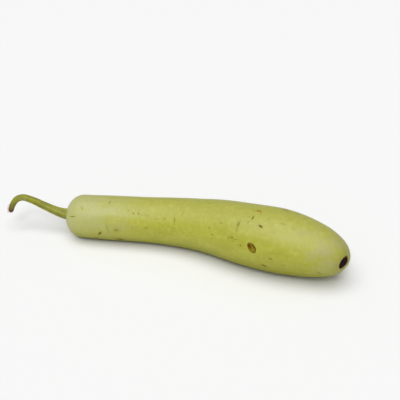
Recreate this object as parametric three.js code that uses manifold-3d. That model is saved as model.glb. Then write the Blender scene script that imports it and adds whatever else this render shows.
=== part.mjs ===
import * as THREE from 'three';
import { mergeVertices } from 'three/addons/utils/BufferGeometryUtils.js';
import Module from 'manifold-3d';

// A long bottle gourd, picked young with its stalk on, lying on its side.
// Millimetres, +Z up. It rests on z = 0, with its stem end towards -X and its blossom end towards +X.

const wasm = await Module();
wasm.setup();

// Driving dimensions of the fruit.
const fruitLength = 328.2; // along its bent middle line
const stemEnd = new THREE.Vector2(-129.8, -16.7); // where the middle line starts
const stemEndCap = { depth: 20.8, fullness: 2.3 }; // blunt, nearly flat round the stalk
const blossomEndCap = { depth: 84.8, fullness: 2.43 }; // long and round
const restDepth = 0.7; // how far the underside is pressed flat where it bears

// The body from stem end to blossom end: share of the length, radius, heading of the middle line
// in degrees (positive turns towards -Y), and how far the underside stands off the flat it rests on.
const stations = [
  { at: 0, radius: 24.4, heading: -7.3, lift: 0.5 },
  { at: 0.12, radius: 25.5, heading: -11.9, lift: 0 },
  { at: 0.3, radius: 26.3, heading: -10.3, lift: 0.8 },
  { at: 0.45, radius: 28.7, heading: -1.9, lift: 1.2 },
  { at: 0.6, radius: 33.3, heading: 7.1, lift: 0 },
  { at: 0.75, radius: 35.6, heading: 1.3, lift: 0 },
  { at: 0.88, radius: 33.6, heading: 8.2, lift: 0.9 },
  { at: 1, radius: 32.8, heading: 33.3, lift: 1.5 },
];

// The stalk: its route from inside the fruit to its cut end, and its thickness along it.
const stemRoute = [
  [-124.4, -16.6, 24.7],
  [-130.6, -17.2, 25],
  [-137.2, -18, 25.9],
  [-144, -19.3, 28],
  [-157.8, -21, 33.1],
  [-171.6, -21.4, 37.3],
  [-184.8, -22.8, 39.4],
  [-191.2, -26, 37.2],
  [-194.4, -31.5, 31.2],
  [-194.6, -36, 25],
];
const stemStations = [
  { at: 0, radius: 6.2 },
  { at: 0.07, radius: 6.3 },
  { at: 0.15, radius: 5.6 },
  { at: 0.3, radius: 4.7 },
  { at: 0.55, radius: 4.1 },
  { at: 0.75, radius: 3.7 },
  { at: 0.88, radius: 3 },
  { at: 1, radius: 2.2 },
];
const stemRibs = 5;
const ribHeight = 0.07; // of the stalk's radius
const ribTwist = 0.9; // radians over the whole stalk

// The dried flower button on the blossom end. It is oval, and its long way leans from upright towards +Y.
const button = { radius: 6.2, oval: 0.69, turn: 46, depth: 1.5, dome: 0.5, aside: 1.6, above: 3.1, tilt: 7 };

// A healed wound in the skin, on the side that faces -Y: an oval dent.
const wound = { at: 0.702, around: 15.5, length: 12, width: 7.2, depth: 0.8, lean: 28 };

const socketGap = 0.3; // between the fruit and what sits in it

const stemEndRings = 7;
const bodyRings = 26;
const blossomEndRings = 14;
const fruitSides = 48;
const stemRings = 46;
const stemSides = 20;

// A smooth value between stations: a cubic whose slopes come from the neighbouring stations.
function smooth(list, at, key) {
  const slope = (i) => {
    const before = list[Math.max(i - 1, 0)];
    const after = list[Math.min(i + 1, list.length - 1)];
    return (after[key] - before[key]) / (after.at - before.at);
  };
  let i = 0;
  while (i < list.length - 2 && at >= list[i + 1].at) i += 1;
  const from = list[i];
  const to = list[i + 1];
  const span = to.at - from.at;
  const u = (at - from.at) / span;
  return (2 * u ** 3 - 3 * u ** 2 + 1) * from[key] + (u ** 3 - 2 * u ** 2 + u) * span * slope(i)
    + (3 * u ** 2 - 2 * u ** 3) * to[key] + (u ** 3 - u ** 2) * span * slope(i + 1);
}

// 0 at the very end of the fruit, rising to 1 where its end cap meets the body.
function capShare(distance, { depth, fullness }) {
  const inside = Math.max(0, 1 - distance / depth);
  return (1 - inside ** fullness) ** (1 / fullness);
}

// The middle line in plan, walked from the stem end in small steps.
const walkSteps = 660;
const walk = [stemEnd];
for (let i = 0; i < walkSteps; i += 1) {
  const heading = THREE.MathUtils.degToRad(smooth(stations, (i + 0.5) / walkSteps, 'heading'));
  const step = new THREE.Vector2(Math.cos(heading), -Math.sin(heading));
  walk.push(walk[i].clone().addScaledVector(step, fruitLength / walkSteps));
}

function middle(at) {
  const place = THREE.MathUtils.clamp(at, 0, 1) * walkSteps;
  const i = Math.min(Math.floor(place), walkSteps - 1);
  const plan = walk[i].clone().lerp(walk[i + 1], place - i);
  const height = smooth(stations, at, 'radius') + smooth(stations, at, 'lift') - restDepth;
  return new THREE.Vector3(plan.x, plan.y, height);
}

// The middle line's point with the three directions there: ahead, to the -Y side, and up.
function frameAt(at) {
  const reach = 0.002;
  const from = Math.max(at - reach, 0);
  const to = Math.min(at + reach, 1);
  const ahead = middle(to).sub(middle(from)).normalize();
  const side = ahead.clone().cross(new THREE.Vector3(0, 0, 1)).normalize();
  const up = side.clone().cross(ahead);
  return { point: middle(at), ahead, side, up };
}

function fruitRadius(at) {
  return smooth(stations, at, 'radius')
    * capShare(at * fruitLength, stemEndCap)
    * capShare((1 - at) * fruitLength, blossomEndCap);
}

// A point on the skin. The angle runs from the -Y side over the top.
function skinPoint(at, angle) {
  const { point, side, up } = frameAt(at);
  const radius = fruitRadius(at);
  return point.addScaledVector(side, radius * Math.cos(angle)).addScaledVector(up, radius * Math.sin(angle));
}

// A closed skin over a list of rings, each with the same number of points, and a point at each end.
// Seen from the start point, each ring runs anticlockwise.
function loft(rings, startPoint, endPoint) {
  const sides = rings[0].length;
  const points = [startPoint, ...rings.flat(), endPoint];
  const last = points.length - 1;
  const faces = [];
  for (let j = 0; j < sides; j += 1) {
    const next = (j + 1) % sides;
    faces.push(0, 1 + j, 1 + next);
    for (let i = 0; i < rings.length - 1; i += 1) {
      const a = 1 + i * sides + j;
      const b = 1 + i * sides + next;
      faces.push(a, a + sides, b, b, a + sides, b + sides);
    }
    const base = last - sides;
    faces.push(last, base + next, base + j);
  }
  const geometry = new THREE.BufferGeometry().setFromPoints(points);
  geometry.setIndex(faces);
  return geometry;
}

function solidOf(geometry) {
  const bare = geometry.clone();
  bare.deleteAttribute('normal');
  bare.deleteAttribute('uv');
  const merged = mergeVertices(bare, 1e-4);
  return new wasm.Manifold(new wasm.Mesh({
    numProp: 3,
    vertProperties: merged.attributes.position.array,
    triVerts: Uint32Array.from(merged.index.array),
  }));
}

function geometryOf(solid) {
  const mesh = solid.getMesh();
  const geometry = new THREE.BufferGeometry();
  geometry.setAttribute('position', new THREE.BufferAttribute(mesh.vertProperties, 3));
  geometry.setIndex(new THREE.BufferAttribute(mesh.triVerts, 1));
  geometry.computeVertexNormals();
  return geometry;
}

function skinGeometry() {
  const rings = [];
  const startShare = stemEndCap.depth / fruitLength;
  const endShare = blossomEndCap.depth / fruitLength;
  const bodyShare = 1 - startShare - endShare;
  const rounding = (i, count) => 1 - Math.cos((Math.PI / 2) * (i / count)); // closer together at a tip
  const places = [];
  for (let i = 1; i <= stemEndRings; i += 1) places.push(startShare * rounding(i, stemEndRings));
  for (let i = 1; i < bodyRings; i += 1) places.push(startShare + bodyShare * (i / bodyRings));
  for (let i = blossomEndRings; i >= 1; i -= 1) places.push(1 - endShare * rounding(i, blossomEndRings));
  for (const at of places) {
    const ring = [];
    for (let j = 0; j < fruitSides; j += 1) ring.push(skinPoint(at, (2 * Math.PI * j) / fruitSides));
    rings.push(ring);
  }
  return loft(rings, middle(0), middle(1));
}

// The stalk with its five ribs, grown by the margin all round for cutting its seat in the fruit.
function stemGeometry(margin) {
  const route = new THREE.CatmullRomCurve3(stemRoute.map((p) => new THREE.Vector3(...p)), false, 'centripetal');
  const frames = route.computeFrenetFrames(stemRings, false);
  const rings = [];
  for (let i = 0; i <= stemRings; i += 1) {
    const share = i / stemRings;
    const centre = route.getPointAt(share);
    const ring = [];
    for (let j = 0; j < stemSides; j += 1) {
      const angle = (2 * Math.PI * j) / stemSides;
      const rib = 1 + ribHeight * Math.cos(stemRibs * (angle - ribTwist * share));
      const radius = smooth(stemStations, share, 'radius') * rib + margin;
      ring.push(centre.clone()
        .addScaledVector(frames.normals[i], radius * Math.cos(angle))
        .addScaledVector(frames.binormals[i], -radius * Math.sin(angle)));
    }
    rings.push(ring);
  }
  const root = route.getPointAt(0).addScaledVector(frames.tangents[0], -margin - 0.4);
  const tip = route.getPointAt(1).addScaledVector(frames.tangents[stemRings], 0.5);
  return loft(rings, root, tip);
}

// The flower button sits a little off the tip of the blossom end and tilts away from it with the skin.
const tip = frameAt(1);
const offTip = tip.side.clone().multiplyScalar(button.aside).addScaledVector(tip.up, button.above);
const buttonPlace = tip.point.clone().add(offTip);
const buttonAxis = tip.ahead.clone()
  .addScaledVector(offTip.normalize(), Math.tan(THREE.MathUtils.degToRad(button.tilt))).normalize();

// The button is a domed disc with an uneven edge, grown by the margin for cutting its seat.
function buttonGeometry(margin) {
  const edge = button.radius + margin;
  const low = -button.depth - margin;
  const profile = [
    [0, low], [edge * 0.8, low], [edge * 0.97, low + 0.3], [edge, -button.depth * 0.55],
    [edge * 0.96, -button.depth * 0.3], [edge * 0.75, 0.05], [edge * 0.4, button.dome * 0.75], [0, button.dome],
  ].map(([across, along]) => new THREE.Vector2(across, along));
  const geometry = new THREE.LatheGeometry(profile, 28);
  const position = geometry.attributes.position;
  for (let i = 0; i < position.count; i += 1) {
    const angle = Math.atan2(position.getZ(i), position.getX(i));
    const wave = 1 + 0.04 * Math.sin(3 * angle + 0.6) + 0.025 * Math.sin(5 * angle);
    position.setX(i, position.getX(i) * wave * button.oval);
    position.setZ(i, position.getZ(i) * wave);
  }
  geometry.rotateY(-THREE.MathUtils.degToRad(button.turn));
  const across = buttonAxis.clone().cross(tip.up).normalize();
  geometry.applyMatrix4(new THREE.Matrix4().makeBasis(across, buttonAxis, across.clone().cross(buttonAxis)));
  geometry.translate(buttonPlace.x, buttonPlace.y, buttonPlace.z);
  return geometry;
}

// The dent of the wound: a flattened ball that bites into the skin by the wound's depth.
function woundGeometry() {
  const around = THREE.MathUtils.degToRad(wound.around);
  const { ahead, side, up } = frameAt(wound.at);
  const out = side.multiplyScalar(Math.cos(around)).addScaledVector(up, Math.sin(around));
  const across = ahead.clone().cross(out).negate();
  const thickness = 6;
  const bite = Math.sqrt(1 - (1 - wound.depth / thickness) ** 2);
  const geometry = new THREE.SphereGeometry(1, 32, 20);
  geometry.scale(wound.width / 2 / bite, wound.length / 2 / bite, thickness);
  geometry.rotateZ(THREE.MathUtils.degToRad(wound.lean));
  geometry.applyMatrix4(new THREE.Matrix4().makeBasis(ahead, across, out));
  const centre = skinPoint(wound.at, around).addScaledVector(out, thickness - wound.depth);
  geometry.translate(centre.x, centre.y, centre.z);
  return geometry;
}

// Everything under z = 0, which presses the underside flat where it bears.
function restGeometry() {
  const geometry = new THREE.BoxGeometry(500, 200, 20);
  geometry.translate(0, 0, -10);
  return geometry;
}

const fruit = solidOf(skinGeometry())
  .subtract(solidOf(stemGeometry(socketGap)))
  .subtract(solidOf(buttonGeometry(socketGap)))
  .subtract(solidOf(woundGeometry()))
  .subtract(solidOf(restGeometry()));

const skinMaterial = new THREE.MeshStandardMaterial({ color: 0xb9bc61, roughness: 0.5, metalness: 0 });
const stalkMaterial = new THREE.MeshStandardMaterial({ color: 0x8a8c33, roughness: 0.6, metalness: 0 });
const driedFlowerMaterial = new THREE.MeshStandardMaterial({ color: 0x2b201d, roughness: 0.9, metalness: 0 });

function piece(name, geometry, material) {
  const mesh = new THREE.Mesh(geometry, material);
  mesh.name = name;
  return mesh;
}

const gourd = new THREE.Group();
gourd.add(
  piece('fruit', geometryOf(fruit), skinMaterial),
  piece('stem', stemGeometry(0), stalkMaterial),
  piece('blossom_scar', buttonGeometry(0), driedFlowerMaterial),
);

export default gourd;
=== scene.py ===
import math
import random

import bmesh
import bpy
from mathutils import Matrix, Vector, noise
from mathutils.bvhtree import BVHTree
from mathutils.kdtree import KDTree


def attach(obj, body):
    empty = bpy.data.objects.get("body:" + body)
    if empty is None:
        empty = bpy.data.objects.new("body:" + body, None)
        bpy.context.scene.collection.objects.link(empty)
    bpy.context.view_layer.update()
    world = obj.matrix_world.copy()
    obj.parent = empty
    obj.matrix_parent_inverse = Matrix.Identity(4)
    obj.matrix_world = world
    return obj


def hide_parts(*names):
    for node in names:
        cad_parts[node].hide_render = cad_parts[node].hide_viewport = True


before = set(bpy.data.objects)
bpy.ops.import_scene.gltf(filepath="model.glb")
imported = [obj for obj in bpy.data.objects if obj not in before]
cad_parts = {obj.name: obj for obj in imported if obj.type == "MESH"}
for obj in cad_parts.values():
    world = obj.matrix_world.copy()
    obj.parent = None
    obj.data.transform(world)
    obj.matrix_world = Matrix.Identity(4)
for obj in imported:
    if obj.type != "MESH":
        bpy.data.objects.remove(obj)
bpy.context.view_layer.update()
mm = 0.001
eased = {"interpolation_type": "SMOOTHSTEP"}
print("frame loaded")

# The photo's camera: it looks down at the floor just behind the gourd.
view = {
    "azimuth": 19.3, "elevation": 34.0,  # degrees
    "lens": 70.0, "sensor": 36.0, "distance": 975.0,  # mm
    "aim": (-6.5, 96.1, 0.0),  # the floor point in the middle of the picture, mm
    "pixels": 400,
}


def towards(azimuth, elevation):  # the direction to something that stands at these angles, in degrees
    turn, height = math.radians(azimuth), math.radians(elevation)
    return Vector((math.sin(turn) * math.cos(height), -math.cos(turn) * math.cos(height), math.sin(height)))


lookFrom = towards(view["azimuth"], view["elevation"])
aim = Vector(view["aim"]) * mm
cameraSpot = aim + lookFrom * view["distance"] * mm
camera = bpy.data.objects.new("camera", bpy.data.cameras.new("camera"))
camera.data.lens = view["lens"]
camera.data.sensor_width = view["sensor"]
camera.data.dof.use_dof = False
camera.location = cameraSpot
camera.rotation_euler = (-lookFrom).to_track_quat("-Z", "Y").to_euler()
bpy.context.scene.collection.objects.link(camera)
bpy.context.scene.camera = camera


def pixelRay(x, y):  # the direction from the camera through a pixel of the photo
    half = view["pixels"] / 2
    reach = view["pixels"] * view["lens"] / view["sensor"]
    ray = Vector(((x - half) / reach, (half - y) / reach, -1))
    return (camera.rotation_euler.to_matrix() @ ray).normalized()


def linear(code):  # sRGB hex to a linear colour
    shares = [int(code[i:i + 2], 16) / 255 for i in (0, 2, 4)]
    return tuple(s / 12.92 if s <= 0.04045 else ((s + 0.055) / 1.055) ** 2.4 for s in shares) + (1.0,)


def addNode(tree, kind, settings, sockets):  # a node with its settings, and values or links on its sockets
    node = tree.nodes.new(kind)
    for name, value in settings.items():
        setattr(node, name, value)
    for name, value in sockets.items():
        if isinstance(value, bpy.types.NodeSocket):
            tree.links.new(value, node.inputs[name])
        else:
            node.inputs[name].default_value = value
    return node


def newMaterial(name):
    material = bpy.data.materials.new(name)
    material.use_nodes = True
    material.node_tree.nodes.clear()
    return material, material.node_tree


def finishMaterial(tree, surface, pattern, height, strength):  # bump, with its height in mm, and the output
    bump = addNode(tree, "ShaderNodeBump", {}, {
        "Height": pattern, "Distance": height * mm, "Strength": strength})
    tree.links.new(bump.outputs[0], surface.inputs["Normal"])
    addNode(tree, "ShaderNodeOutputMaterial", {}, {"Surface": surface.outputs[0]})


def growthPattern(tree, place, cell, detail, roughness=0.5):  # clouds with cells of this size, in mm
    scaled = addNode(tree, "ShaderNodeMapping", {}, {
        "Vector": place, "Scale": [1 / (length * mm) for length in cell]})
    clouds = addNode(tree, "ShaderNodeTexNoise", {}, {
        "Vector": scaled.outputs[0], "Scale": 1, "Detail": detail, "Roughness": roughness})
    return clouds.outputs["Fac"]


# Coats of colour one over another. Each coat has a pattern, the pattern's values where the coat is
# bare and where it is full, a strength and a colour. The last coat's share comes back as well.
def paint(tree, colour, coats):
    for pattern, bare, full, strength, coat in coats:
        share = addNode(tree, "ShaderNodeMapRange", eased, {
            "Value": pattern, "From Min": bare, "From Max": full, "To Max": strength}).outputs[0]
        over = linear(coat) if isinstance(coat, str) else coat
        colour = addNode(tree, "ShaderNodeMix", {"data_type": "RGBA"}, {
            0: share, 6: colour, 7: over}).outputs[2]
    return colour, share


def smooth(stations, at, column):  # a cubic through the stations, as in the solid model
    def slope(i):
        before = stations[max(i - 1, 0)]
        after = stations[min(i + 1, len(stations) - 1)]
        return (after[column] - before[column]) / (after[0] - before[0])
    i = 0
    while i < len(stations) - 2 and at >= stations[i + 1][0]:
        i += 1
    start, end = stations[i], stations[i + 1]
    span = end[0] - start[0]
    u = (at - start[0]) / span
    return ((2 * u ** 3 - 3 * u ** 2 + 1) * start[column] + (u ** 3 - 2 * u ** 2 + u) * span * slope(i)
            + (3 * u ** 2 - 2 * u ** 3) * end[column] + (u ** 3 - u ** 2) * span * slope(i + 1))


def bell(distance, reach):  # 1 at distance 0, dying away round reach
    return math.exp(-(distance / reach) ** 2)


def evenShares(count, length, weight):  # count + 1 places up to length, closer where weight is high
    steps = 4000
    total = [0.0]
    for i in range(steps):
        total.append(total[-1] + weight(length * (i + 0.5) / steps))
    places = []
    i = 0
    for k in range(count + 1):
        wanted = total[-1] * k / count
        while i < steps - 1 and total[i + 1] < wanted:
            i += 1
        share = (wanted - total[i]) / (total[i + 1] - total[i])
        places.append(length * (i + share) / steps)
    return places


def ballOf(rows, sides, vertexAt):  # a ball laid out by vertexAt, and each vertex's row and column
    bm = bmesh.new()
    bmesh.ops.create_uvsphere(bm, u_segments=sides, v_segments=rows, radius=1)
    grid = []
    for vert in bm.verts:
        row = round(math.acos(max(-1.0, min(1.0, -vert.co.z))) / math.pi * rows)
        column = round(math.atan2(vert.co.y, vert.co.x) / (2 * math.pi) * sides) % sides
        grid.append((row, column))
        vert.co = vertexAt(row, column)
    if bm.calc_volume(signed=True) < 0:
        bmesh.ops.reverse_faces(bm, faces=bm.faces)
    bm.normal_update()
    return bm, grid


def addPiece(name, bm, material, node):
    mesh = bpy.data.meshes.new(name)
    bm.to_mesh(mesh)
    bm.free()
    mesh.shade_smooth()
    piece = bpy.data.objects.new(name, mesh)
    bpy.context.scene.collection.objects.link(piece)
    mesh.materials.append(material)
    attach(piece, "root")
    if node:
        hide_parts(node)
    print(name, "has", len(mesh.polygons), "faces")
    return piece


# The fruit: the bent middle line and the thickness along it, as in the solid model. Millimetres.
fruit = {
    "length": 328.2, "stemEnd": (-129.8, -16.7), "stemEndCap": (20.8, 2.3), "blossomEndCap": (84.8, 2.43),
    "restDepth": 0.7,
    # share of the length, radius, heading towards -Y in degrees, lift of the underside
    "stations": [
        (0, 24.4, -7.3, 0.5), (0.12, 25.5, -11.9, 0), (0.3, 26.3, -10.3, 0.8), (0.45, 28.7, -1.9, 1.2),
        (0.6, 33.3, 7.1, 0), (0.75, 35.6, 1.3, 0), (0.88, 33.6, 8.2, 0.9), (1, 32.8, 33.3, 1.5),
    ],
    "rows": 260, "sides": 180,
    # uneven growth: height and length in mm, times round, shift
    "growth": [(0.45, 55, 1.3, 7), (0.1, 16, 4, 3), (0.14, 110, 6, 0)],
}
wound = {
    "centre": (251.8, 247.9), "top": (249.1, 242.9), "bottom": (254.5, 252.9),  # pixels
    "share": 0.702, "angle": 15.5,  # where it is along the fruit, and round it in degrees
    "width": 7.4, "depth": 0.75, "rim": 0.3,  # mm
    "rough": (1.1, 0.25),  # waves to the mm, share of the depth
    # two stains: both ends in pixels, width in mm, softness of the edge
    "redStain": ((248.5, 244.5), (249.8, 247.8), 2.8, 0.45),
    "darkStain": ((253.2, 246.3), (255.2, 249.2), 1.3, 0.5),
}
collar = {  # the skin round the stalk, mm
    "place": (0, 0.6, 0.8), "ring": 11.0, "ringWidth": 2.5, "ringHeight": 0.35, "dip": 0.9, "dipWidth": 8.0,
}
button = {  # mm and degrees
    "radius": 6.2, "oval": 0.69, "turn": 46.0, "depth": 1.5, "dome": 0.5,
    "aside": 1.6, "above": 3.1, "tilt": 7.0, "pocket": 1.5, "lip": 0.3,
    "creases": 11, "creaseDepth": 0.22, "tail": 1.5, "wave": 0.04, "pit": 0.7, "pitWidth": 1.3,
    "crumbs": [(0.9, 0.3), (2.6, 0.12)], "sag": 0.6,  # crumbs: waves to the mm, height
    "rows": 72, "sides": 120,
}
walkSteps = 660
walk = [Vector(fruit["stemEnd"])]
for i in range(walkSteps):
    heading = math.radians(smooth(fruit["stations"], (i + 0.5) / walkSteps, 2))
    walk.append(walk[i] + Vector((math.cos(heading), -math.sin(heading))) * fruit["length"] / walkSteps)


def middle(at):  # the middle line's point at this share of its length
    place = min(max(at, 0), 1) * walkSteps
    i = min(int(place), walkSteps - 1)
    plan = walk[i].lerp(walk[i + 1], place - i)
    height = smooth(fruit["stations"], at, 1) + smooth(fruit["stations"], at, 3) - fruit["restDepth"]
    return Vector((plan.x, plan.y, height))


def frameAt(at):  # the middle line's point, and the directions ahead, to the -Y side and up
    reach = 0.002
    ahead = (middle(min(at + reach, 1)) - middle(max(at - reach, 0))).normalized()
    side = ahead.cross(Vector((0, 0, 1))).normalized()
    return middle(at), ahead, side, side.cross(ahead)


def capShare(distance, cap):  # how full the gourd is at a distance from its end, from 0 to 1
    inside = max(0.0, 1 - distance / cap[0])
    return (1 - inside ** cap[1]) ** (1 / cap[1])


def fruitRadius(along):
    return (smooth(fruit["stations"], along / fruit["length"], 1)
            * capShare(along, fruit["stemEndCap"])
            * capShare(fruit["length"] - along, fruit["blossomEndCap"]))


frameSteps = 400
frames = [frameAt(i / frameSteps) for i in range(frameSteps + 1)]


def straighten(point):  # where a point would be if the gourd were straight: along it, to the side and up, mm
    best = min(range(frameSteps + 1), key=lambda i: (point - frames[i][0]).length
               + 4 * abs((point - frames[i][0]).dot(frames[i][1])))
    spot, ahead, side, up = frames[best]
    step = point - spot
    along = best / frameSteps * fruit["length"] + step.dot(ahead)
    return Vector((along, step.dot(side), step.dot(up)))


def rowWeight(along):  # how much skin a row covers, and more rows at the wound
    step = 0.02
    low, high = max(along - step, 0), min(along + step, fruit["length"])
    slope = (fruitRadius(high) - fruitRadius(low)) / (high - low)
    atWound = bell(along - wound["share"] * fruit["length"], 9)
    return math.hypot(1, slope) * (1 + 3 * atWound + 2 * bell(fruit["length"] - along, 2))


def columnWeight(angle):  # more columns at the wound
    turned = angle - math.radians(wound["angle"])
    return 1 + 2.2 * bell((turned + math.pi) % (2 * math.pi) - math.pi, 0.26)


rowPlaces = evenShares(fruit["rows"], fruit["length"], rowWeight)
columnAngles = evenShares(fruit["sides"], 2 * math.pi, columnWeight)
rowFrames = [frameAt(along / fruit["length"]) for along in rowPlaces]
rowRadii = [fruitRadius(along) for along in rowPlaces]


def skinVertex(row, column):
    spot, ahead, side, up = rowFrames[row]
    angle = columnAngles[column]
    return spot + (side * math.cos(angle) + up * math.sin(angle)) * rowRadii[row]


skin, skinGrid = ballOf(fruit["rows"], fruit["sides"], skinVertex)
skinTree = BVHTree.FromBMesh(skin)
print("skin laid out")


def placeOfPixel(x, y):  # the spot of the skin that a pixel of the photo shows, straightened
    hit = skinTree.ray_cast(cameraSpot / mm, pixelRay(x, y))[0]
    return straighten(hit) if hit else None


woundCentre = placeOfPixel(*wound["centre"])
woundTop = placeOfPixel(*wound["top"])
woundBottom = placeOfPixel(*wound["bottom"])
tipSpot, tipAhead, tipSide, tipUp = frameAt(1)
offTip = tipSide * button["aside"] + tipUp * button["above"]
buttonCentre = tipSpot + offTip
buttonAxis = (tipAhead + offTip.normalized() * math.tan(math.radians(button["tilt"]))).normalized()
buttonPlace = straighten(buttonCentre)
turn = math.radians(button["turn"])
tipAcross = buttonAxis.cross(tipUp).normalized()
buttonLong = tipAcross.cross(buttonAxis) * math.cos(turn) - tipAcross * math.sin(turn)
buttonShort = buttonLong.cross(buttonAxis)
stemPlace = Vector(collar["place"])


def ovalDistance(place, start, end, width):  # 1 on the rim of an oval that spans start to end
    half = (end - start) / 2
    long = half.normalized()
    out = Vector((0, place.y, place.z)).normalized()
    across = long.cross(out)
    step = place - (start + end) / 2
    return math.hypot(step.dot(long) / half.length, step.dot(across) / (width / 2))


def buttonDistance(place):  # 1 on the rim of the flower button
    step = place - buttonPlace
    longWay = step.y * math.sin(turn) - step.z * math.cos(turn)
    shortWay = step.y * math.cos(turn) + step.z * math.sin(turn)
    return math.hypot(longWay, shortWay / button["oval"]) / button["radius"]


def relief(place):  # how far the skin stands out from the plain shape, mm
    around = Vector((0, place.y, place.z)).normalized()
    height = 0.0
    for size, length, turns, shift in fruit["growth"]:
        height += size * noise.noise(Vector((place.x / length, around.y * turns, around.z * turns + shift)))
    if (place - woundCentre).length < 14:
        far = ovalDistance(place, woundTop, woundBottom, wound["width"])
        waves, share = wound["rough"]
        rough = noise.noise(place * waves) * share
        height += wound["rim"] * bell(far - 1.02, 0.22) - wound["depth"] * bell(far, 0.8) * (1 + rough)
    if place.x > fruit["length"] - 40:
        far = buttonDistance(place)
        height += button["lip"] * bell(far - 1.3, 0.22) - button["pocket"] * math.exp(-(far / 1.06) ** 6)
    fromStem = (place - stemPlace).length
    if fromStem < 20:
        height += collar["ringHeight"] * bell(fromStem - collar["ring"], collar["ringWidth"])
        height -= collar["dip"] * bell(fromStem, collar["dipWidth"])
    return height


placeLayer = skin.verts.layers.float_vector.new("skinPlace")
buttonLayer = skin.verts.layers.float.new("fromButton")
for vert, (row, column) in zip(skin.verts, skinGrid):
    angle = columnAngles[column]
    place = Vector((rowPlaces[row], rowRadii[row] * math.cos(angle), rowRadii[row] * math.sin(angle)))
    vert[placeLayer] = place * mm
    vert[buttonLayer] = buttonDistance(place) if place.x > fruit["length"] / 2 else 9
    vert.co += vert.normal * relief(place)
    vert.co.z = max(vert.co.z, 0.0)
bmesh.ops.scale(skin, vec=(mm, mm, mm), verts=skin.verts)

# Marks on the skin: both ends in the photo's pixels, width in mm, strength.
marks = {
    "brown": [
        ((259.8, 225.8), (261.5, 227.0), 1.8, 1.0), ((99.2, 234.0), (100.5, 232.8), 2.3, 0.85),
        ((118.0, 238.9), (122.6, 239.4), 3.6, 0.8), ((96.0, 237.6), (97.6, 238.0), 3.0, 0.6),
        ((262.8, 264.9), (266.0, 266.6), 2.3, 0.8), ((177.0, 243.9), (178.0, 244.1), 1.2, 0.5),
        ((240.0, 244.9), (240.9, 245.7), 1.3, 0.5), ((269.7, 258.7), (271.3, 259.0), 1.8, 0.5),
    ],
    "rust": [
        ((257.0, 211.0), (260.6, 211.4), 1.7, 0.8), ((260.6, 211.6), (261.0, 213.4), 1.1, 0.5),
    ],
    "olive": [
        ((70.6, 216.5), (74.0, 216.5), 1.0, 0.7), ((106.5, 225.4), (108.6, 231.2), 0.8, 0.45),
        ((115.0, 230.3), (117.2, 230.3), 3.2, 0.42), ((109.2, 203.0), (110.5, 201.7), 1.2, 0.5),
        ((113.2, 236.7), (114.6, 237.3), 1.0, 0.5), ((238.8, 222.8), (237.8, 226.0), 2.3, 0.52),
        ((237.3, 227.2), (236.5, 230.8), 2.2, 0.25),
        ((252.2, 219.0), (253.6, 216.8), 1.4, 0.75), ((247.6, 222.8), (248.6, 221.4), 1.1, 0.35),
        ((174.5, 217.6), (174.5, 222.4), 1.1, 0.5), ((165.0, 218.2), (165.0, 220.2), 1.0, 0.4),
        ((145.0, 228.2), (146.4, 227.9), 2.6, 0.3), ((128.2, 210.4), (128.8, 210.2), 1.2, 0.4),
        ((133.2, 213.2), (133.6, 213.8), 1.4, 0.6), ((135.4, 209.6), (135.6, 210.0), 1.0, 0.35),
        ((138.3, 213.3), (138.5, 214.3), 1.4, 0.6), ((139.4, 210.0), (139.7, 210.1), 1.0, 0.35),
        ((141.8, 214.8), (142.3, 215.2), 1.2, 0.4), ((144.8, 214.3), (145.1, 214.8), 1.1, 0.4),
        ((147.3, 215.2), (147.3, 216.3), 1.2, 0.5), ((155.0, 219.3), (155.6, 219.4), 1.2, 0.35),
        ((209.0, 227.8), (209.5, 228.0), 1.2, 0.45), ((212.2, 234.4), (212.7, 234.8), 1.3, 0.55),
        ((211.4, 238.4), (211.9, 238.6), 1.2, 0.45), ((220.6, 223.1), (221.1, 223.3), 1.2, 0.45),
        ((228.2, 237.6), (228.8, 237.8), 1.3, 0.5), ((231.8, 237.2), (232.2, 237.5), 1.6, 0.7),
        ((233.8, 239.6), (236.4, 239.4), 1.0, 0.35), ((317.4, 272.4), (320.6, 273.6), 1.4, 0.65),
        ((162.8, 226.0), (163.3, 226.1), 1.1, 0.3), ((168.3, 226.1), (168.8, 226.2), 1.1, 0.3),
        ((132.2, 227.4), (132.7, 227.5), 1.2, 0.4), ((208.5, 203.5), (208.9, 203.6), 1.2, 0.35),
        ((283.0, 264.6), (284.4, 265.2), 1.4, 0.3), ((304.0, 218.5), (306.5, 219.0), 1.4, 0.2),
    ],
    "tan": [
        ((284.4, 209.8), (287.0, 210.8), 2.4, 0.75), ((286.8, 212.4), (287.4, 212.7), 1.3, 0.5),
        ((294.6, 213.4), (298.6, 214.6), 1.3, 0.5), ((281.4, 223.6), (284.4, 224.4), 1.2, 0.45),
        ((289.5, 219.3), (290.0, 219.7), 1.3, 0.45), ((268.2, 219.1), (268.7, 219.4), 1.2, 0.4),
        ((181.8, 215.0), (183.3, 212.2), 1.1, 0.4), ((81.6, 207.2), (82.2, 209.0), 1.6, 0.35),
        ((173.0, 228.2), (173.4, 228.4), 1.2, 0.35), ((248.8, 216.6), (249.3, 217.0), 1.2, 0.35),
        ((293.6, 228.4), (294.4, 229.0), 1.3, 0.3), ((273.4, 231.8), (273.8, 232.6), 1.2, 0.2),
    ],
}
markTints = {"brown": "5e3800", "rust": "8c4a06", "olive": "5f5e00", "tan": "8a6a10"}
hiddenMarks = {"seed": 11, "count": 24, "from": 124.0, "to": 303.0}  # degrees round, out of the photo's sight


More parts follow.
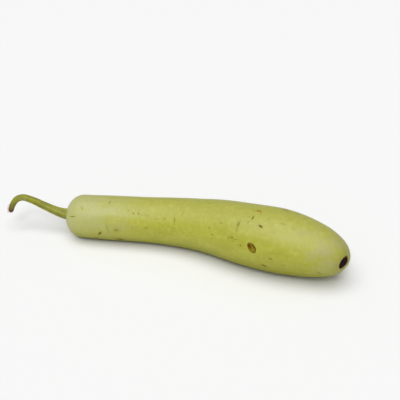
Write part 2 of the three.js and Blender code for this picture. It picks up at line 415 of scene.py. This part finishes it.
# Each mark's tint, strength, middle, reach in mm, and its two directions over its half sizes.
def findMarks():
    found = []

    def add(kind, start, end, width, strength):
        centre = (start + end) / 2
        out = Vector((0, centre.y, centre.z)).normalized()
        long = end - start
        long = (long - out * long.dot(out)).normalized()
        reach = (end - start).length / 2 + width / 2
        found.append((linear(markTints[kind])[:3], strength, centre, reach,
                      long / reach, out.cross(long) / (width / 2)))

    for kind, rows in marks.items():
        for start, end, width, strength in rows:
            ends = placeOfPixel(*start), placeOfPixel(*end)
            if ends[0] and ends[1]:
                add(kind, *ends, width, strength)
    draw = random.Random(hiddenMarks["seed"])
    for i in range(hiddenMarks["count"]):
        along = draw.uniform(14, fruit["length"] - 16)
        angle = math.radians(draw.uniform(hiddenMarks["from"], hiddenMarks["to"]))
        radius = fruitRadius(along)
        lean = draw.uniform(0, math.pi)
        half = draw.choice((0.3, 0.5, 1.2, 2.4))
        centre = Vector((along, radius * math.cos(angle), radius * math.sin(angle)))
        step = Vector((math.cos(lean), -math.sin(angle) * math.sin(lean), math.cos(angle) * math.sin(lean)))
        kind = draw.choice(("olive", "olive", "olive", "tan", "brown"))
        add(kind, centre - step * half, centre + step * half, draw.uniform(1, 1.8), draw.uniform(0.3, 0.7))
    return found


# Every face keeps its nearest mark: the mark's tint, and the place across the mark with its rim at 1.
foundMarks = findMarks()
markSearch = KDTree(len(foundMarks) * 3)
for i, (tint, strength, centre, reach, long, short) in enumerate(foundMarks):
    for k, spread in enumerate((-0.7, 0, 0.7)):
        markSearch.insert(centre + long.normalized() * reach * spread, 3 * i + k)
markSearch.balance()
markPlace = skin.loops.layers.float_vector.new("markPlace")
markTint = skin.loops.layers.float_color.new("markTint")
for face in skin.faces:
    centre = sum((vert[placeLayer] for vert in face.verts), Vector()) / len(face.verts) / mm
    tint, strength, spot, reach, long, short = foundMarks[markSearch.find(centre)[1] // 3]
    for loop in face.loops:
        step = loop.vert[placeLayer] / mm - spot
        near = step.length < reach + 6
        loop[markPlace] = (step.dot(long), step.dot(short), 0) if near else (9, 9, 0)
        loop[markTint] = (*tint, strength if near else 0)


def ovalReach(tree, place, start, end, width):  # 1 on the rim of an oval of the skin, 0 in its middle
    centre = (start + end) / 2
    out = Vector((0, centre.y, centre.z)).normalized()
    long = end - start
    long = (long - out * long.dot(out)).normalized()
    turn = Matrix((long, out.cross(long), out)).transposed().to_euler()
    reach = (end - start).length / 2 + width / 2
    local = addNode(tree, "ShaderNodeMapping", {"vector_type": "TEXTURE"}, {
        "Vector": place, "Location": centre * mm, "Rotation": turn,
        "Scale": Vector((reach, width / 2, 20)) * mm})
    reached = addNode(tree, "ShaderNodeVectorMath", {"operation": "LENGTH"}, {0: local.outputs[0]})
    return reached.outputs["Value"]


# Young gourd skin: a smooth, thin, waxy rind, grown and not worked. The wax gives a broad soft
# sheen and a pale bloom, and the rind's green is cloudy, with pale flecks. The colour also holds
# painted light: a paler top and bloom made stronger up high as painted highlight, and a darker underside as
# painted shade.
def gourdSkin():
    look = {
        "light": "a8a838", "deep": "9c9c28", "fleck": "b4b556", "paintedSheenTop": "a3a34c", "under": "888804",
        "bloom": "b4b488", "bloomAndHighlightRing": "9a966c", "haloAndTipShade": "868610", "corkRim": "7a4c0c",
        "scab": "84760e", "scabBrown": "5c4208", "scabEdge": "4c2a02", "scabDark": "2a1400",
        "scabStain": "5e2400", "roughness": (0.41, 0.52), "coat": 0.06,
        "bump": (0.08, 0.35),  # height in mm, strength
        "rag": (0.9, 0.9),  # ragged edges: waves to the mm, size in mm
        # where the bloom and its painted highlight are bare and full along the gourd in metres, its strength,
        # its colour
        "bloomsAndHighlights": [(0.17, 0.03, 0.72, "bloom"), (0.335, 0.4, 0.6, "bloomAndHighlightRing")],
        # cells along, across and up in mm, detail, roughness
        "clouds": ((26, 12, 12), 3), "mottle": ((5, 5, 5), 4, 0.6), "grain": ((1.2, 1.2, 1.2), 2),
        "streaks": ((60, 3, 3), 2), "hoops": ((2.2, 11, 11), 3), "pores": ((0.9, 0.9, 0.9), 3),
    }
    material, tree = newMaterial("waxy gourd skin")
    place = addNode(tree, "ShaderNodeAttribute", {"attribute_name": "skinPlace"}, {}).outputs["Vector"]
    parts = addNode(tree, "ShaderNodeSeparateXYZ", {}, {0: place}).outputs
    along, height = parts[0], parts[2]
    clouds, mottle, grain, streaks, hoops, pores = [
        growthPattern(tree, place, *look[name])
        for name in ("clouds", "mottle", "grain", "streaks", "hoops", "pores")]
    # the coat over the height is painted light: a paler, greyer top, a painted sheen where the light falls
    colour = paint(tree, linear(look["deep"]), [
        (clouds, 0.2, 0.8, 1, look["light"]), (height, 0.008, 0.03, 0.75, look["paintedSheenTop"]),
        (mottle, 0.45, 0.75, 0.6, look["fleck"]), (mottle, 0.45, 0.25, 0.4, look["deep"]),
        (streaks, 0.5, 0.75, 0.32, look["deep"]), (hoops, 0.5, 0.75, 0.35, look["deep"]),
        (grain, 0.5, 0.8, 0.26, look["fleck"]),
    ])[0]

    # paler and greyer with wax bloom near both ends, made stronger on the upper side as a painted highlight,
    # less so low down, and a deeper green below as painted shade
    ragEnd = addNode(tree, "ShaderNodeMath", {"operation": "MULTIPLY_ADD"}, {
        0: clouds, 1: 0.12, 2: along}).outputs[0]
    for bare, full, strength, name in look["bloomsAndHighlights"]:
        # painted highlight: this share makes the bloom and the pale ring stronger on the upper side, where
        # the light falls
        paintedLightOnTop = addNode(tree, "ShaderNodeMapRange", eased, {
            "Value": height, "From Min": -0.018, "From Max": 0.012,
            "To Min": 0.25 * strength, "To Max": strength}).outputs[0]
        colour = paint(tree, colour, [(ragEnd, bare, full, paintedLightOnTop, look[name])])[0]
    # painted shade: a deeper green on the underside, where less light falls
    colour = paint(tree, colour, [(height, -0.002, -0.024, 0.88, look["under"])])[0]

    # the marks, with ragged edges and a green halo
    ragWaves, ragSize = look["rag"]
    shake = addNode(tree, "ShaderNodeTexNoise", {}, {"Vector": place, "Scale": ragWaves / mm, "Detail": 2})
    shaken = addNode(tree, "ShaderNodeVectorMath", {"operation": "MULTIPLY_ADD"}, {
        0: shake.outputs["Color"], 1: [ragSize * mm] * 3, 2: place})
    ragged = addNode(tree, "ShaderNodeVectorMath", {"operation": "SUBTRACT"}, {
        0: shaken.outputs[0], 1: [ragSize / 2 * mm] * 3}).outputs[0]
    across = addNode(tree, "ShaderNodeAttribute", {"attribute_name": "markPlace"}, {}).outputs["Vector"]
    tint = addNode(tree, "ShaderNodeAttribute", {"attribute_name": "markTint"}, {})
    far = addNode(tree, "ShaderNodeVectorMath", {"operation": "LENGTH"}, {0: across}).outputs["Value"]
    frayed = addNode(tree, "ShaderNodeMath", {"operation": "MULTIPLY_ADD"}, {
        0: shake.outputs["Fac"], 1: 1.1, 2: far}).outputs[0]
    faint = addNode(tree, "ShaderNodeMath", {"operation": "MULTIPLY"}, {0: tint.outputs["Alpha"], 1: 0.5})
    colour, markShare = paint(tree, colour, [
        (frayed, 3.4, 1.6, faint.outputs[0], look["haloAndTipShade"]),
        (frayed, 1.9, 1.2, tint.outputs["Alpha"], tint.outputs["Color"]),
    ])

    # the wound: a corky scab with a dark edge, a red-brown stain at its upper end and a dark side
    upwards = (woundTop - woundBottom).normalized()
    low, high = woundBottom + upwards * wound["width"] / 2, woundTop - upwards * wound["width"] / 2
    edge = ovalReach(tree, ragged, low, high, wound["width"] * 1.05)
    colour, scabShare = paint(tree, colour, [(edge, 1.12, 0.88, 0.9, look["scabEdge"])])
    shift = upwards * 0.1 - Vector((0.4, 0, 0))
    inner = ovalReach(tree, ragged, low + shift, high + shift, wound["width"] * 0.92)
    scab = paint(tree, linear(look["scab"]), [(grain, 0.5, 0.68, 1, look["scabBrown"])])[0]
    colour = paint(tree, colour, [(inner, 1.16, 0.84, 1, scab)])[0]
    for stain, name in (("redStain", "scabStain"), ("darkStain", "scabDark")):
        start, end, width, soft = wound[stain]
        oval = ovalReach(tree, ragged, placeOfPixel(*start), placeOfPixel(*end), width)
        colour = paint(tree, colour, [(oval, 1 + soft, 1 - soft, 0.9, look[name])])[0]

    # a thin corky rim round the dried flower button, and round it a darker olive zone, painted shade at the
    # nose tip
    fromButton = addNode(tree, "ShaderNodeAttribute", {"attribute_name": "fromButton"}, {}).outputs["Fac"]
    rimEdge = addNode(tree, "ShaderNodeMath", {"operation": "MULTIPLY_ADD"}, {
        0: mottle, 1: 0.3, 2: fromButton}).outputs[0]
    colour, rimShare = paint(tree, colour, [
        (fromButton, 3.2, 1.3, 0.5, look["haloAndTipShade"]), (rimEdge, 1.48, 1.27, 1, look["corkRim"])])

    # dead, corky tissue doesn't shine, and the wax is worn where the gourd lies
    corky = addNode(tree, "ShaderNodeMath", {"operation": "MAXIMUM"}, {0: scabShare, 1: rimShare}).outputs[0]
    corky = addNode(tree, "ShaderNodeMath", {"operation": "MAXIMUM"}, {0: corky, 1: markShare}).outputs[0]
    wax = addNode(tree, "ShaderNodeMapRange", eased, {"Value": corky, "To Min": 1, "To Max": 0}).outputs[0]
    coat = addNode(tree, "ShaderNodeMath", {"operation": "MULTIPLY"}, {0: wax, 1: look["coat"]}).outputs[0]
    shine = addNode(tree, "ShaderNodeMapRange", eased, {
        "Value": mottle, "From Min": 0.3, "From Max": 0.7,
        "To Min": look["roughness"][0], "To Max": look["roughness"][1]}).outputs[0]
    worn = addNode(tree, "ShaderNodeMapRange", eased, {
        "Value": height, "From Min": -0.02, "From Max": 0, "To Min": 0.3}).outputs[0]
    waxSheen = addNode(tree, "ShaderNodeMapRange", eased, {
        "Value": wax, "To Min": 0.15, "To Max": 0.5}).outputs[0]
    sheen = addNode(tree, "ShaderNodeMath", {"operation": "MULTIPLY"}, {0: waxSheen, 1: worn}).outputs[0]
    surface = addNode(tree, "ShaderNodeBsdfPrincipled", {}, {
        "Base Color": colour, "Roughness": shine, "IOR": 1.42, "Specular IOR Level": sheen,
        "Coat Weight": coat, "Coat Roughness": 0.3})
    finishMaterial(tree, surface, pores, *look["bump"])
    return material


addPiece("gourd_skin", skin, gourdSkin(), "fruit")


# The stalk: its route from inside the fruit to the cut end, mm, and its thickness along it.
stalk = {
    "route": [
        (-124.4, -16.6, 24.7), (-130.6, -17.2, 25.0), (-137.2, -18.0, 25.9), (-144.0, -19.3, 28.0),
        (-157.8, -21.0, 33.1), (-171.6, -21.4, 37.3), (-184.8, -22.8, 39.4), (-191.2, -26.0, 37.2),
        (-194.4, -31.5, 31.2), (-194.6, -36.0, 25.0),
    ],
    "stations": [
        (0, 6.2), (0.07, 6.3), (0.15, 5.6), (0.3, 4.7), (0.55, 4.1),
        (0.75, 3.7), (0.88, 3.4), (0.97, 3.0), (1, 2.3),
    ],
    "ribs": 5, "ribHeight": 0.062, "twist": 0.9, "fineRibs": 15, "fineHeight": 0.012,
    "rough": [(1.3, 0.035), (4, 0.012)],  # waves round the stalk, share of the radius
    "cutFrom": 0.97, "slant": 0.7, "tear": 0.6,  # share of the length, mm
    "rows": 280, "sides": 80,
    # spots: pixel, radius in mm, strength, colour
    "marks": [
        (20.6, 198.8, 2.2, 0.6, "bloom"), (24.6, 198.9, 1.9, 0.5, "bloom"), (13.6, 204.0, 2.6, 0.7, "furrow"),
        (35.0, 203.6, 0.9, 0.8, "speck"), (41.5, 202.6, 0.6, 0.6, "speck"), (29.8, 197.0, 0.8, 0.5, "speck"),
        (58.0, 213.6, 0.9, 0.6, "speck"), (10.2, 204.2, 1.2, 0.9, "dry"), (9.8, 206.8, 1.5, 1.0, "dry"),
        (10.2, 209.0, 1.4, 0.9, "dry"), (47.0, 208.6, 0.6, 0.4, "speck"),
    ],
}


def curveThrough(points, count):  # count + 1 even steps on a smooth curve through the points
    points = [Vector(p) for p in points]
    ends = [points[0] * 2 - points[1]] + points + [points[-1] * 2 - points[-2]]
    fine = []
    for i in range(1, len(ends) - 2):
        p0, p1, p2, p3 = ends[i - 1:i + 3]
        gaps = [math.sqrt((b - a).length) for a, b in ((p0, p1), (p1, p2), (p2, p3))]
        enter = ((p1 - p0) / gaps[0] - (p2 - p0) / (gaps[0] + gaps[1]) + (p2 - p1) / gaps[1]) * gaps[1]
        leave = ((p2 - p1) / gaps[1] - (p3 - p1) / (gaps[1] + gaps[2]) + (p3 - p2) / gaps[2]) * gaps[1]
        for k in range(40):
            u = k / 40
            fine.append((2 * u ** 3 - 3 * u ** 2 + 1) * p1 + (u ** 3 - 2 * u ** 2 + u) * enter
                        + (3 * u ** 2 - 2 * u ** 3) * p2 + (u ** 3 - u ** 2) * leave)
    fine.append(points[-1])
    run = [0.0]
    for a, b in zip(fine, fine[1:]):
        run.append(run[-1] + (b - a).length)
    places = []
    i = 0
    for k in range(count + 1):
        wanted = run[-1] * k / count
        while i < len(run) - 2 and run[i + 1] < wanted:
            i += 1
        places.append(fine[i].lerp(fine[i + 1], (wanted - run[i]) / (run[i + 1] - run[i])))
    return places, run[-1]


def framesAlong(places):  # each place's direction and two directions across it, without twist
    across = Vector((0, 0, 1))
    found = []
    for i in range(len(places)):
        ahead = (places[min(i + 1, len(places) - 1)] - places[max(i - 1, 0)]).normalized()
        across = (across - ahead * across.dot(ahead)).normalized()
        found.append((ahead, across, ahead.cross(across)))
    return found


stalkPlaces, stalkLength = curveThrough(stalk["route"], stalk["rows"])
stalkFrames = framesAlong(stalkPlaces)


def stalkHeight(share, angle):  # the rib profile, from 0 in a furrow to 1 on a rib
    turned = angle - stalk["twist"] * share
    return 0.5 + 0.5 * math.cos(stalk["ribs"] * turned)


def stalkVertex(row, column):
    share = row / stalk["rows"]
    angle = 2 * math.pi * column / stalk["sides"]
    ahead, across, beside = stalkFrames[row]
    rib = stalkHeight(share, angle)
    ribSize = stalk["ribHeight"] * (1.35 - share)
    fine = stalk["fineHeight"] * math.cos(stalk["fineRibs"] * (angle - stalk["twist"] * share) + 2 * share)
    out = Vector((math.cos(angle), math.sin(angle), share * 14))
    rough = sum(noise.noise(out * waves) * part for waves, part in stalk["rough"])
    size = smooth(stalk["stations"], share, 1) * (1 + ribSize * (2 * rib ** 0.8 - 1) + fine + rough)
    cut = min(1.0, (stalk["rows"] - row) / 5)
    root = min(1.0, row / 6)
    size *= math.sqrt(max(0.0, 1 - (1 - cut) ** 2)) * math.sqrt(max(0.0, 1 - (1 - root) ** 2))
    spot = stalkPlaces[row] + (across * math.cos(angle) + beside * math.sin(angle)) * size
    if share > stalk["cutFrom"]:  # the cut is slanted and torn
        push = stalk["slant"] * math.cos(angle + 0.8) + stalk["tear"] * noise.noise(out * 3)
        spot += ahead * push * (share - stalk["cutFrom"]) / (1 - stalk["cutFrom"])
    return spot


stem, stemGrid = ballOf(stalk["rows"], stalk["sides"], stalkVertex)
stemLayer = stem.verts.layers.float_vector.new("stalkPlace")  # along the stalk in metres, and the rib height
for vert, (row, column) in zip(stem.verts, stemGrid):
    share = row / stalk["rows"]
    angle = 2 * math.pi * column / stalk["sides"]
    vert[stemLayer] = (share * stalkLength * mm, stalkHeight(share, angle), 0)
stalkTree = BVHTree.FromBMesh(stem)
bmesh.ops.scale(stem, vec=(mm, mm, mm), verts=stem.verts)


# Green stalk: fibrous plant tissue, grown, ribbed lengthwise and picked. Pale worn ribs, deeper
# green patches, furrows darkened with painted shade, brown specks, and a dry brown end where it was cut.
def greenStalk():
    look = {
        "green": "88880f", "furrow": "77780a", "rib": "9e9e3a", "dry": "5a2c0e", "speck": "5f3e0c",
        "bloom": "92925e", "wilted": "5c5208", "roughness": 0.5, "bump": (0.2, 0.5),
        # cells along, across and up in mm, detail, roughness
        "cloud": ((6.25, 6.25, 6.25), 3), "fibre": ((4, 0.625, 0.625), 3),
        "specks": ((1.923, 1.923, 1.923), 1), "shake": ((1.4286, 1.4286, 1.4286), 3, 0.7),
    }
    material, tree = newMaterial("ribbed green stalk")
    place = addNode(tree, "ShaderNodeAttribute", {"attribute_name": "stalkPlace"}, {}).outputs["Vector"]
    along, rib = addNode(tree, "ShaderNodeSeparateXYZ", {}, {0: place}).outputs[:2]
    where = addNode(tree, "ShaderNodeTexCoord", {}, {}).outputs["Object"]
    cloud, fibre, specks, shake = [
        growthPattern(tree, where, *look[name]) for name in ("cloud", "fibre", "specks", "shake")]
    worn = addNode(tree, "ShaderNodeMapRange", eased, {
        "Value": along, "From Min": 0.045, "From Max": 0.018, "To Min": 0.06, "To Max": 0.5}).outputs[0]
    colour = paint(tree, linear(look["furrow"]), [
        # painted shade: the furrows between the ribs are darkened where shade falls
        (cloud, 0.35, 0.65, 1, look["green"]), (rib, 0.35, 0.0, 0.3, look["furrow"]),
        (rib, 0.82, 1.0, worn, look["rib"]), (fibre, 0.5, 0.8, 0.22, look["rib"]),
        (specks, 0.7, 0.76, 0.75, look["speck"]),
    ])[0]
    for x, y, radius, strength, name in stalk["marks"]:
        spot = stalkTree.ray_cast(cameraSpot / mm, pixelRay(x, y))[0] * mm
        far = addNode(tree, "ShaderNodeVectorMath", {"operation": "DISTANCE"}, {0: where, 1: spot})
        reach = 2.4 * radius * mm
        frayed = addNode(tree, "ShaderNodeMath", {"operation": "MULTIPLY_ADD"}, {
            0: shake, 1: reach, 2: far.outputs["Value"]}).outputs[0]
        colour = paint(tree, colour, [(frayed, reach, 0.75 * reach, strength, look[name])])[0]
    torn = addNode(tree, "ShaderNodeMath", {"operation": "MULTIPLY_ADD"}, {
        0: cloud, 1: 0.006, 2: along}).outputs[0]
    end = stalkLength * mm
    colour = paint(tree, colour, [
        (torn, end - 0.012, end - 0.001, 0.8, look["wilted"]),
        (torn, end - 0.0005, end + 0.0018, 1, look["dry"]),
    ])[0]
    surface = addNode(tree, "ShaderNodeBsdfPrincipled", {}, {
        "Base Color": colour, "Roughness": look["roughness"], "IOR": 1.45, "Sheen Weight": 0.1})
    finishMaterial(tree, surface, fibre, *look["bump"])
    return material


addPiece("gourd_stem", stem, greenStalk(), "stem")


# The dried flower button: a domed, creased disc of dead petals with a tail at one end.
def buttonVertex(row, column):
    share = row / button["rows"]
    angle = 2 * math.pi * column / button["sides"]  # from the tail round
    spread = math.sin(math.pi * share) ** 0.55
    around = Vector((math.cos(angle), math.sin(angle), 0))
    edge = button["radius"] * (1 + button["wave"] * noise.noise(around * 2.5) * 2)
    edge += button["tail"] * bell(min(angle, 2 * math.pi - angle), 0.3)
    across = edge * spread
    height = -math.cos(math.pi * share) * (button["dome"] if share > 0.5 else button["depth"])
    if share > 0.5:
        crease = math.cos(button["creases"] * angle + 1.5 * noise.noise(Vector((angle, spread * 3, 1))))
        height += button["creaseDepth"] * crease * spread * (1 - spread ** 6)
        height += sum(size * noise.noise(around * across * waves) for waves, size in button["crumbs"])
        height -= button["pit"] * bell(across, button["pitWidth"])
    height -= button["sag"] * spread ** 2
    return (buttonCentre + buttonAxis * height - buttonLong * (across * math.cos(angle))
            + buttonShort * (across * math.sin(angle) * button["oval"]))


scar = ballOf(button["rows"], button["sides"], buttonVertex)[0]
bmesh.ops.scale(scar, vec=(mm, mm, mm), verts=scar.verts)


# Dried flower: dead corky plant tissue, shrivelled as it dried. Near black, with rust brown on
# its high edges, and no shine.
def driedFlower():
    look = {
        "dark": "1a0b14", "brown": "3a180e", "rust": "6a3a10", "roughness": 0.85, "bump": (0.4, 0.8),
        "crumbs": ((1.4286, 1.4286, 1.4286), 4, 0.65), "patches": ((3.846, 3.846, 3.846), 2),  # cells in mm
    }
    material, tree = newMaterial("dried flower tissue")
    where = addNode(tree, "ShaderNodeTexCoord", {}, {}).outputs["Object"]
    crumbs, patches = [growthPattern(tree, where, *look[name]) for name in ("crumbs", "patches")]
    colour = paint(tree, linear(look["dark"]), [
        (crumbs, 0.5, 0.75, 0.7, look["brown"]), (patches, 0.6, 0.75, 0.4, look["rust"])])[0]
    surface = addNode(tree, "ShaderNodeBsdfPrincipled", {}, {
        "Base Color": colour, "Roughness": look["roughness"], "IOR": 1.45, "Specular IOR Level": 0.2})
    finishMaterial(tree, surface, crumbs, *look["bump"])
    return material


addPiece("flower_button", scar, driedFlower(), "blossom_scar")


# Frayed fibres at the cut end of the stalk: pale dry strands, thin as thread.
fibres = {
    "strands": [
        [(-195.6, -30.2, 33.4), (-198.3, -32.2, 31.8), (-199.1, -33.8, 29.6), (-199.1, -35.8, 26.7),
         (-197.5, -37.5, 23.7)],
        [(-195.6, -31.6, 32.0), (-197.9, -33.2, 30.0), (-198.1, -34.3, 28.4), (-197.8, -35.8, 26.1),
         (-196.9, -37.0, 24.1)],
        [(-193.8, -34.4, 27.5), (-193.2, -36.2, 25.0), (-192.6, -36.9, 23.7)],
    ],
    "radius": 0.24, "flat": 1.6, "rows": 40, "sides": 10,
}


def strandMesh(points):
    rows = fibres["rows"]
    spots = curveThrough(points, rows)[0]
    turns = framesAlong(spots)

    def strandVertex(row, column):
        share = row / rows
        angle = 2 * math.pi * column / fibres["sides"]
        size = fibres["radius"] * math.sqrt(max(0.0, 1 - (2 * share - 1) ** 8)) * (1.15 - 0.5 * share)
        ahead, across, beside = turns[row]
        return spots[row] + (across * math.cos(angle) * fibres["flat"] + beside * math.sin(angle)) * size

    return ballOf(rows, fibres["sides"], strandVertex)[0]


# Dry fibre: bleached plant fibre, torn. Straw coloured and dull.
def dryFibre():
    look = {
        "straw": "b59884", "pale": "e3d6c8", "roughness": 0.7, "bump": (0.1, 0.4),
        "patches": ((2, 2, 2), 2),  # cells in mm
    }
    material, tree = newMaterial("dry plant fibre")
    where = addNode(tree, "ShaderNodeTexCoord", {}, {}).outputs["Object"]
    patches = growthPattern(tree, where, *look["patches"])
    colour = paint(tree, linear(look["straw"]), [(patches, 0.35, 0.65, 1, look["pale"])])[0]
    surface = addNode(tree, "ShaderNodeBsdfPrincipled", {}, {
        "Base Color": colour, "Roughness": look["roughness"], "IOR": 1.5})
    finishMaterial(tree, surface, patches, *look["bump"])
    return material


fibreMaterial = dryFibre()
for number, points in enumerate(fibres["strands"], 1):
    strand = strandMesh(points)
    bmesh.ops.scale(strand, vec=(mm, mm, mm), verts=strand.verts)
    addPiece(f"stem_fibre_{number}", strand, fibreMaterial, None)


# A plain pale floor.
ground = {"size": 6, "colour": "e7e7e7", "roughness": 0.9}  # half its width in metres
floorBm = bmesh.new()
bmesh.ops.create_grid(floorBm, x_segments=1, y_segments=1, size=ground["size"])
floorMesh = bpy.data.meshes.new("floor")
floorBm.to_mesh(floorMesh)
floorBm.free()
floor = bpy.data.objects.new("floor", floorMesh)
bpy.context.scene.collection.objects.link(floor)
floorMaterial, floorTree = newMaterial("pale floor")
floorSurface = addNode(floorTree, "ShaderNodeBsdfPrincipled", {}, {
    "Base Color": linear(ground["colour"]), "Roughness": ground["roughness"], "Specular IOR Level": 0.1})
addNode(floorTree, "ShaderNodeOutputMaterial", {}, {"Surface": floorSurface.outputs[0]})
floorMesh.materials.append(floorMaterial)

# A soft pale sky, a white backdrop behind the floor, and two broad lamps. A lamp has its azimuth,
# elevation and spread over the sky in degrees, and its strength.
lights = {
    "world": 0.3, "backdrop": 0.94, "soft": (-16.0, 76.0, 60.0, 2.15), "key": (10.0, 48.0, 24.0, 0.9),
}
world = bpy.data.worlds.new("studio")
bpy.context.scene.world = world
world.use_nodes = True
world.node_tree.nodes.clear()
white = linear("ffffff")
sky, backdrop = [
    addNode(world.node_tree, "ShaderNodeBackground", {}, {"Color": white, "Strength": lights[name]})
    for name in ("world", "backdrop")]
seen = addNode(world.node_tree, "ShaderNodeLightPath", {}, {}).outputs["Is Camera Ray"]
both = addNode(world.node_tree, "ShaderNodeMixShader", {}, {
    0: seen, 1: sky.outputs[0], 2: backdrop.outputs[0]})
addNode(world.node_tree, "ShaderNodeOutputWorld", {}, {"Surface": both.outputs[0]})
for name in ("soft", "key"):
    around, height, spread, strength = lights[name]
    lamp = bpy.data.objects.new(name, bpy.data.lights.new(name, "SUN"))
    lamp.data.angle = math.radians(spread)
    lamp.data.energy = strength
    lamp.rotation_euler = (-towards(around, height)).to_track_quat("-Z", "Y").to_euler()
    bpy.context.scene.collection.objects.link(lamp)

bpy.context.scene.view_settings.view_transform = "Standard"
print("lights and camera set")
